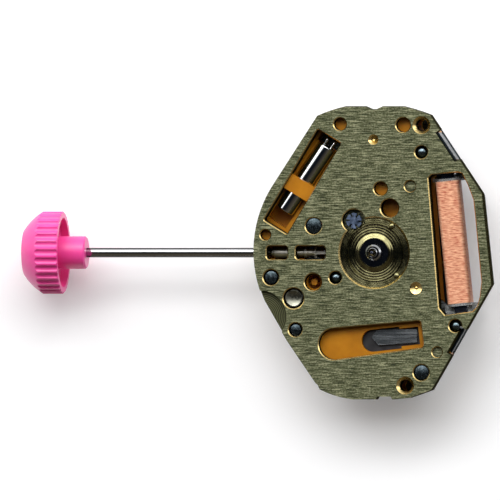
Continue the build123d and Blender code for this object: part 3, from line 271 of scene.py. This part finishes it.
metals = {
    "gold": ((0.55, 0.39, 0.13), (0.8, 0.62, 0.27), 0.32),
    "axleSteel": ((0.24, 0.24, 0.19), (0.36, 0.36, 0.29), 0.26),
    "steel": ((0.26, 0.29, 0.31), (0.5, 0.53, 0.55), 0.26, (600, 9000, 600), 0.004, 0.95),
    "blueSteel": ((0.05, 0.06, 0.1), (0.2, 0.23, 0.3), 0.2),
    "pinionSteel": ((0.07, 0.1, 0.16), (0.17, 0.22, 0.33), 0.42, 5000, 0.002),
    "clutchSteel": ((0.8, 0.74, 0.62), (0.95, 0.92, 0.84), 0.45, 3000, 0.002),
    "pinSteel": ((0.05, 0.08, 0.09), (0.17, 0.22, 0.25), 0.24, 7000, 0.003),
    "canSteel": ((0.66, 0.67, 0.68), (0.78, 0.78, 0.79), 0.07, 700, 0.0005),
    "darkPolish": ((0.3, 0.31, 0.32), (0.42, 0.43, 0.44), 0.08, 2000, 0.0005),
    "chrome": ((0.55, 0.56, 0.58), (0.72, 0.72, 0.73), 0.1, (900, 5000, 5000), 0.002),
    "copper": ((0.52, 0.075, 0.03), (1.0, 0.63, 0.4), 0.42, (2600, 12000, 2600), 0.03, 0.15),
    "magnet": ((0.1, 0.1, 0.11), (0.22, 0.22, 0.23), 0.45),
}
metalGrain = {"detail": 4, "rough": 0.6, "stops": (0.3, 0.65), "shares": (0.75, 1.3), "strength": 0.5}


def toneAndGloss(tree, shader, grain, dark, light, rough, look):
    tones = ramp(tree, grain, list(zip(look["stops"], (dark, light))))
    tree.links.new(tones, shader.inputs["Base Color"])
    smooth, coarse = (rough * share for share in look["shares"])
    tree.links.new(ranged(tree, grain, smooth, coarse), shader.inputs["Roughness"])


def metal(name, dark, light, rough, stretch=3000, depth=0.004, share=1.0):
    material, tree, shader = newMaterial(name, light, share, rough)
    grain = noise(tree, stretch, metalGrain["detail"], metalGrain["rough"])
    toneAndGloss(tree, shader, grain, dark, light, rough, metalGrain)
    bump(tree, shader, grain, depth * mm, metalGrain["strength"])
    return material


# Turned metals: dark and light tone, roughness, then pitch and depth of the turning marks in mm

turnedMetals = {
    "brass": ((0.5, 0.38, 0.16), (0.75, 0.6, 0.3), 0.4, 0.09, 0.002),
    "ringBronze": ((0.2, 0.19, 0.085), (0.31, 0.29, 0.15), 0.23, 0.12, 0.002),
    "wheelBronze": ((0.2, 0.18, 0.085), (0.32, 0.3, 0.15), 0.18, 0.16, 0.006),
}
turnedGrain = {
    "size": 2500,
    "detail": 3,
    "stops": (0.3, 0.7),
    "shares": (0.8, 1.25),
    "strength": 0.7,
    "drawnOut": 0.95,  # how far the gloss is drawn out across the marks
}


def glossAround(tree, shader, amount):
    parts = split(tree, placeOn(tree, (1, 1, 1)))
    outward = tree.nodes.new("ShaderNodeCombineXYZ")
    tree.links.new(parts["X"], outward.inputs["X"])
    tree.links.new(parts["Y"], outward.inputs["Y"])
    turned = tree.nodes.new("ShaderNodeVectorTransform")
    turned.vector_type = "VECTOR"
    turned.convert_from, turned.convert_to = "OBJECT", "WORLD"
    tree.links.new(outward.outputs["Vector"], turned.inputs["Vector"])
    unit = tree.nodes.new("ShaderNodeVectorMath")
    unit.operation = "NORMALIZE"
    tree.links.new(turned.outputs["Vector"], unit.inputs[0])
    tree.links.new(unit.outputs["Vector"], shader.inputs["Tangent"])
    shader.inputs["Anisotropic"].default_value = amount


def turnedMetal(name, dark, light, rough, pitch, depth):
    look = turnedGrain
    material, tree, shader = newMaterial(name, light, 1.0, rough)
    glossAround(tree, shader, look["drawnOut"])
    toneAndGloss(tree, shader, noise(tree, look["size"], look["detail"]), dark, light, rough, look)
    bump(tree, shader, rings(tree, (0, 0, 0), pitch * mm), depth * mm, look["strength"])
    return material


# The stem, polished outside and satin inside the plate, with painted shade on its edges and painted light
# on its part inside the plate

stemLook = {
    "outer": ((0.4, 0.41, 0.42), (0.5, 0.51, 0.52), 0.14, (300, 6000, 6000), 0.002),
    # painted reflection: a near-black colour over the stem's edges, where its faces turn away from the
    # view, stands in for dark reflections there
    "rim": (0.02, 0.018, 0.015),
    "rimShadeShare": 0.93,
    "rimShadeFrom": (0.2, 0.36),
    # painted light: a much lighter colour on the stem's part inside the plate, where it lies in shade; its
    # rougher satin gloss is real
    "inner": (0.92, 0.88, 0.78),
    "innerRough": 0.45,
    "innerFrom": (-6.75 * mm, -6.65 * mm),
}


def drawnSteel():
    look = stemLook
    material = metal("drawnSteel", *look["outer"])
    tree = material.node_tree
    shader = tree.nodes["Principled BSDF"]
    colour, rough = (shader.inputs[key].links[0].from_socket for key in ("Base Color", "Roughness"))
    # painted shade on the stem's edges, by how far each face turns from the view
    weight = tree.nodes.new("ShaderNodeLayerWeight")
    rim = ranged(tree, weight.outputs["Facing"], 0, look["rimShadeShare"], *look["rimShadeFrom"])
    colour = blended(tree, rim, colour, look["rim"])
    # painted light on the stem inside the plate, with the real satin roughness
    inner = ranged(tree, coordinates(tree, "Object")["X"], 0, 1, *look["innerFrom"])
    tree.links.new(blended(tree, inner, colour, look["inner"]), shader.inputs["Base Color"])
    satin = blended(tree, inner, rough, (look["innerRough"],) * 3)
    tree.links.new(satin, shader.inputs["Roughness"])
    return material


# The back cover and the arms that rise from it; the arms and the cover's upper face are coloured near
# black as painted shade

coverLook = {
    "tones": ((0.4, 0.41, 0.42), (0.58, 0.59, 0.6)),
    "stops": (0.3, 0.65),
    # painted shade: near-black colour on all that lies above the cover's top
    "armShade": (0.05, 0.065, 0.075),
    "armShadeFrom": (-2.86 * mm, -2.8 * mm),
    "stretch": (700, 9000, 700),
    "rough": (0.24, 0.4),
    "depth": 0.004 * mm,
}


def springSteel():
    look = coverLook
    material, tree, shader = newMaterial("springSteel", look["tones"][1], 1.0, look["rough"][1])
    grain = noise(tree, look["stretch"], metalGrain["detail"], metalGrain["rough"])
    sheet = ramp(tree, grain, list(zip(look["stops"], look["tones"])))
    # painted shade: all above the cover's top is coloured near black, so the arms and the gaps seen down
    # to the cover look shaded
    shadedAbove = ranged(tree, coordinates(tree, "Object")["Z"], 0, 1, *look["armShadeFrom"])
    tree.links.new(blended(tree, shadedAbove, sheet, look["armShade"]), shader.inputs["Base Color"])
    tree.links.new(ranged(tree, grain, *look["rough"]), shader.inputs["Roughness"])
    bump(tree, shader, grain, look["depth"], metalGrain["strength"])
    return material


# Plastics: dark and light tone, roughness, then size of the clouds, depth of the grain in mm and the coat

plastics = {
    "blackFilm": ((0.008, 0.008, 0.01), (0.025, 0.025, 0.028), 0.42),
    "pinkPlastic": ((0.8, 0.05, 0.29), (0.88, 0.07, 0.345), 0.36, 700, 0.002, 0.15),
    "ruby": ((0.35, 0.0, 0.03), (0.6, 0.01, 0.06), 0.1),
}
plasticGrain = {
    "detail": 4,
    "stops": (0.3, 0.7),
    "shares": (0.85, 1.2),
    "finer": 8,
    "fineDetail": 2,
    "strength": 0.4,
}


def plastic(name, dark, light, rough, size=1500, depth=0.006, coat=0.0):
    look = plasticGrain
    material, tree, shader = newMaterial(name, light, 0.0, rough)
    toneAndGloss(tree, shader, noise(tree, size, look["detail"]), dark, light, rough, look)
    shader.inputs["Coat Weight"].default_value = coat
    grain = noise(tree, size * look["finer"], look["fineDetail"])
    bump(tree, shader, grain, depth * mm, look["strength"])
    return material


bobbinLook = {
    "colour": (0.86, 0.88, 0.87),
    "clear": 0.75,
    "ior": 1.49,
    "haze": 1800,
    "hazeDetail": 3,
    "rough": (0.08, 0.24),
    "depth": 0.01 * mm,
    "strength": 0.4,
}


def clearPlastic():
    look = bobbinLook
    material, tree, shader = newMaterial("clearPlastic", look["colour"], 0.0, look["rough"][0])
    shader.inputs["Transmission Weight"].default_value = look["clear"]
    shader.inputs["IOR"].default_value = look["ior"]
    haze = noise(tree, look["haze"], look["hazeDetail"])
    tree.links.new(ranged(tree, haze, *look["rough"]), shader.inputs["Roughness"])
    bump(tree, shader, haze, look["depth"], look["strength"])
    return material


boardLook = {
    "ground": (0.02, 0.14, 0.06),
    "rough": 0.35,
    "pattern": {
        "Color1": (0.006, 0.028, 0.016, 1),
        "Color2": (0.01, 0.036, 0.02, 1),
        "Mortar": (0.03, 0.07, 0.04, 1),
        "Scale": 900,
        "Mortar Size": 0.04,
    },
    "depth": 0.02 * mm,
    "strength": 0.4,
}


def boardGreen():
    look = boardLook
    material, tree, shader = newMaterial("boardGreen", look["ground"], 0.0, look["rough"])
    bricks = tree.nodes.new("ShaderNodeTexBrick")
    for key, value in look["pattern"].items():
        bricks.inputs[key].default_value = value
    tree.links.new(placeOn(tree, (1, 1, 1)), bricks.inputs["Vector"])
    tree.links.new(bricks.outputs["Color"], shader.inputs["Base Color"])
    bump(tree, shader, bricks.outputs["Fac"], look["depth"], look["strength"])
    return material


looks = {name: metal(name, *values) for name, values in metals.items()}
for name, values in turnedMetals.items():
    looks[name] = turnedMetal(name, *values)
for name, values in plastics.items():
    looks[name] = plastic(name, *values)
looks["bronzePlate"] = bronzePlate()
looks["amberPlastic"] = amberPlastic()
looks["drawnSteel"] = drawnSteel()
looks["springSteel"] = springSteel()
looks["clearPlastic"] = clearPlastic()
looks["boardGreen"] = boardGreen()

finishes = {
    "main_plate": "bronzePlate",
    "circuit_spacer": "amberPlastic",
    "hour_wheel": "wheelBronze",
    "hour_pipe": "darkPolish",
    "hour_wheel_guard": "ringBronze",
    "cannon_pinion": "darkPolish",
    "minute_wheel": "brass",
    "minute_pinion": "pinionSteel",
    "setting_wheel": "steel",
    "setting_post": "steel",
    "centre_tube": "brass",
    "centre_wheel": "brass",
    "third_wheel": "brass",
    "third_pinion": "steel",
    "seconds_wheel": "brass",
    "seconds_arbor": "blueSteel",
    "fifth_wheel": "brass",
    "fifth_arbor": "steel",
    "rotor_magnet": "magnet",
    "rotor_arbor": "steel",
    "stator": "steel",
    "coil_core": "blueSteel",
    "coil_winding": "copper",
    "coil_bobbin": "clearPlastic",
    "coil_screws": "chrome",
    "stem": "drawnSteel",
    "crown": "pinkPlastic",
    "clutch_wheel": "clutchSteel",
    "yoke": "steel",
    "guide_pins": "pinSteel",
    "setting_lever": "steel",
    "setting_lever_axle": "axleSteel",
    "setting_jumper": "steel",
    "crystal_can": "canSteel",
    "crystal_leads": "canSteel",
    "battery_contact": "steel",
    "contact_insulator": "blackFilm",
    "battery_can": "chrome",
    "battery_cap": "chrome",
    "battery_seal": "blackFilm",
    "circuit_board": "boardGreen",
    "circuit_chip": "blackFilm",
    "train_bridge": "ringBronze",
    "train_jewels": "ruby",
    "bridge_screws": "chrome",
    "plate_bushes": "gold",
    "plate_pins": "pinSteel",
    "back_cover": "springSteel",
    "cover_screws": "chrome",
}
for name, node in nodes.items():
    node.data.materials.clear()
    node.data.materials.append(looks[finishes[name]])
print("finishes done", len(looks), "materials")


# The coil: one turn of wire is shaped from a cube and repeated along the barrel

winding = {
    "centre": (4.967, 0.65, -1.05),
    "tilt": 5.9,
    "width": 1.5,
    "height": 1.3,
    "length": 7.75,
    "turns": 96,
    "corner": 0.2,
    "cornerSteps": 3,
    "rim": 0.2,  # rim and inset are shares of the pitch
    "inset": 0.3,
    "squeeze": 0.62,  # what is left of a turn's thickness at its rim
}


def deselect():
    if bpy.context.object and bpy.context.object.mode != "OBJECT":
        bpy.ops.object.mode_set(mode="OBJECT")
    bpy.ops.object.select_all(action="DESELECT")


def settle(piece, node, body, material):
    deselect()
    piece.select_set(True)
    bpy.context.view_layer.objects.active = piece
    bpy.ops.object.transform_apply(location=True, rotation=True, scale=True)
    piece.data.materials.clear()
    piece.data.materials.append(material)
    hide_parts(node)
    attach(piece, body)


def coilTurns():
    pitch = winding["length"] / winding["turns"] * mm
    corner, rim = winding["corner"] * mm, winding["rim"] * pitch
    width, height = winding["width"] * mm, winding["height"] * mm
    deselect()
    bpy.ops.mesh.primitive_cube_add(size=1)
    turn = bpy.context.object
    turn.name = "coilTurns"
    turn.scale = (width, pitch, height)
    bpy.ops.object.transform_apply(location=True, rotation=True, scale=True)

    bpy.ops.object.mode_set(mode="EDIT")
    bpy.ops.mesh.select_mode(type="EDGE")
    bpy.ops.mesh.select_all(action="DESELECT")
    bpy.ops.object.mode_set(mode="OBJECT")
    for edge in turn.data.edges:  # the four edges along the coil are rounded
        first, second = (turn.data.vertices[index].co for index in edge.vertices)
        edge.select = abs(first.y - second.y) > pitch / 2
    bpy.ops.object.mode_set(mode="EDIT")
    bpy.ops.mesh.bevel(offset=corner, segments=winding["cornerSteps"])

    bpy.ops.mesh.select_all(action="DESELECT")
    bpy.ops.object.mode_set(mode="OBJECT")
    for face in turn.data.polygons:  # the two end faces of the turn get an inner ring
        face.select = abs(face.normal.y) > 0.9
    bpy.ops.object.mode_set(mode="EDIT")
    bpy.ops.mesh.select_mode(type="FACE")
    bpy.ops.mesh.inset(thickness=pitch * winding["inset"])
    bpy.ops.object.mode_set(mode="OBJECT")
    for vertex in turn.data.vertices:  # their outer rim is drawn in, so that each turn shows
        across, along, high = (abs(value) for value in vertex.co)
        outer = across > width / 2 - rim or high > height / 2 - rim
        rounded = across > width / 2 - corner and high > height / 2 - corner
        if along > pitch * 0.49 and (outer or rounded):
            vertex.co.y *= winding["squeeze"]

    array = turn.modifiers.new("along", "ARRAY")
    array.count = winding["turns"]
    array.use_relative_offset = False
    array.use_constant_offset = True
    array.constant_offset_displace = (0, pitch, 0)
    bpy.ops.object.modifier_apply(modifier="along")
    turn.location = (0, (pitch - winding["length"] * mm) / 2, 0)
    bpy.ops.object.transform_apply(location=True, rotation=True, scale=True)
    turn.rotation_euler = (0, 0, radians(winding["tilt"]))
    turn.location = [value * mm for value in winding["centre"]]
    settle(turn, "coil_winding", "movement", looks["copper"])


coilTurns()
print("coil turns done")


# Softened edges, widths in mm

edges = {
    "widths": {
        "battery_contact": 0.07,
        "crystal_can": 0.05,
        "stem": 0.02,
        "clutch_wheel": 0.02,
        "battery_can": 0.15,
    },
    "join": 0.0005,
    "steps": 2,
    "sharp": 40,  # degrees between two faces from which an edge is softened
}


def softenEdges(node, width):
    weld = node.modifiers.new("joined", "WELD")
    weld.merge_threshold = edges["join"] * mm
    bevel = node.modifiers.new("softened", "BEVEL")
    bevel.width = width * mm
    bevel.segments = edges["steps"]
    bevel.limit_method = "ANGLE"
    bevel.angle_limit = radians(edges["sharp"])
    bevel.use_clamp_overlap = True


for name, width in edges["widths"].items():
    softenEdges(nodes[name], width)
print("edges done")


# Floor, room, lamp and camera

floorLook = {"size": 0.6, "gap": 0.05 * mm, "colour": (0.86, 0.86, 0.87), "rough": 0.9, "glow": 0.18}


def floor():
    look = floorLook
    deselect()
    bpy.ops.mesh.primitive_plane_add(size=look["size"], location=(0, 0, cadLow.z - look["gap"]))
    plane = bpy.context.object
    plane.name = "paleFloor"
    material, tree, shader = newMaterial("paleFloor", look["colour"], 0.0, look["rough"])
    paths = tree.nodes.new("ShaderNodeLightPath")
    seen = calculate(tree, "MAXIMUM", paths.outputs["Is Camera Ray"], paths.outputs["Is Glossy Ray"])
    seen = calculate(tree, "MAXIMUM", seen, paths.outputs["Is Transmission Ray"])
    shader.inputs["Emission Color"].default_value = (1, 1, 1, 1)
    tree.links.new(calculate(tree, "MULTIPLY", seen, look["glow"]), shader.inputs["Emission Strength"])
    plane.data.materials.append(material)


room = {
    "tones": [  # from the horizon up
        (0.0, (0.26, 0.26, 0.27)),
        (0.35, (0.1, 0.1, 0.11)),
        (0.65, (0.02, 0.022, 0.026)),
        (0.93, (0.006, 0.008, 0.012)),
    ],
    "front": (0.12, 0.1, 0.07),
    "frontFrom": (-0.7, -0.1),
    "window": 2.4,  # a band of light behind the plate's upper edge, its angles in degrees
    "windowFoot": 0.3,
    "windowStart": (12, 26),
    "windowEnd": (68, 79),
    "windowSide": (0.05, 0.25),
}


def world():
    background = bpy.data.worlds.new("softRoom")
    background.use_nodes = True
    tree = background.node_tree
    shade = tree.nodes["Background"]
    parts = coordinates(tree, "Generated")
    front = ranged(tree, parts["Y"], 1, 0, *room["frontFrom"])
    tone = blended(tree, front, ramp(tree, parts["Z"], room["tones"]), room["front"])
    height = calculate(tree, "ARCTAN2", parts["Z"], parts["Y"])
    start, end = ([radians(angle) for angle in room[key]] for key in ("windowStart", "windowEnd"))
    window = ranged(tree, height, room["window"], 0, *end)
    window = calculate(tree, "MULTIPLY", window, ranged(tree, height, room["windowFoot"], 1, *start))
    window = calculate(tree, "MULTIPLY", window, ranged(tree, parts["Y"], 0, 1, *room["windowSide"]))
    glow = tree.nodes.new("ShaderNodeVectorMath")
    glow.operation = "ADD"
    tree.links.new(tone, glow.inputs[0])
    tree.links.new(window, glow.inputs[1])
    paths = tree.nodes.new("ShaderNodeLightPath")
    shown = blended(tree, paths.outputs["Is Camera Ray"], glow.outputs["Vector"], (1, 1, 1))
    tree.links.new(shown, shade.inputs["Color"])
    shade.inputs["Strength"].default_value = 1.0
    bpy.context.scene.world = background


keyLamp = {"place": (-20, 75, 80), "target": (-6, 0, 0), "size": (130, 30), "power": 0.06}


def lamp():
    data = bpy.data.lights.new("keyLamp", "AREA")
    data.shape = "RECTANGLE"
    data.size, data.size_y = (value * mm for value in keyLamp["size"])
    data.energy = keyLamp["power"]
    light = bpy.data.objects.new("keyLamp", data)
    bpy.context.scene.collection.objects.link(light)
    light.location = [value * mm for value in keyLamp["place"]]
    away = Vector(keyLamp["place"]) * mm - Vector(keyLamp["target"]) * mm
    light.rotation_euler = away.to_track_quat("Z", "Y").to_euler()


shot = {
    "fromRight": 10.1,  # degrees that the view is turned around Y
    "mmPerPixel": 0.063,
    "pixels": 500,
    "middle": (-7.936, 0.164, 0),
    "distance": 0.2,  # this and the clip are in metres
    "clip": (0.001, 2),
}


def camera():
    data = bpy.data.cameras.new("photoCamera")
    data.type = "ORTHO"
    data.ortho_scale = shot["mmPerPixel"] * shot["pixels"] * mm
    data.clip_start, data.clip_end = shot["clip"]
    view = bpy.data.objects.new("photoCamera", data)
    bpy.context.scene.collection.objects.link(view)
    back = Vector((tan(radians(shot["fromRight"])), 0, 1)).normalized()
    right = (Vector((1, 0, 0)) - back * back.x).normalized()
    up = back.cross(right)
    turn = Matrix((right, up, back)).transposed()
    place = Vector(shot["middle"]) * mm + back * shot["distance"]
    view.matrix_world = Matrix.Translation(place) @ turn.to_4x4()
    bpy.context.scene.camera = view


floor()
world()
lamp()
camera()
bpy.context.scene.view_settings.view_transform = "Standard"
print("stage done")
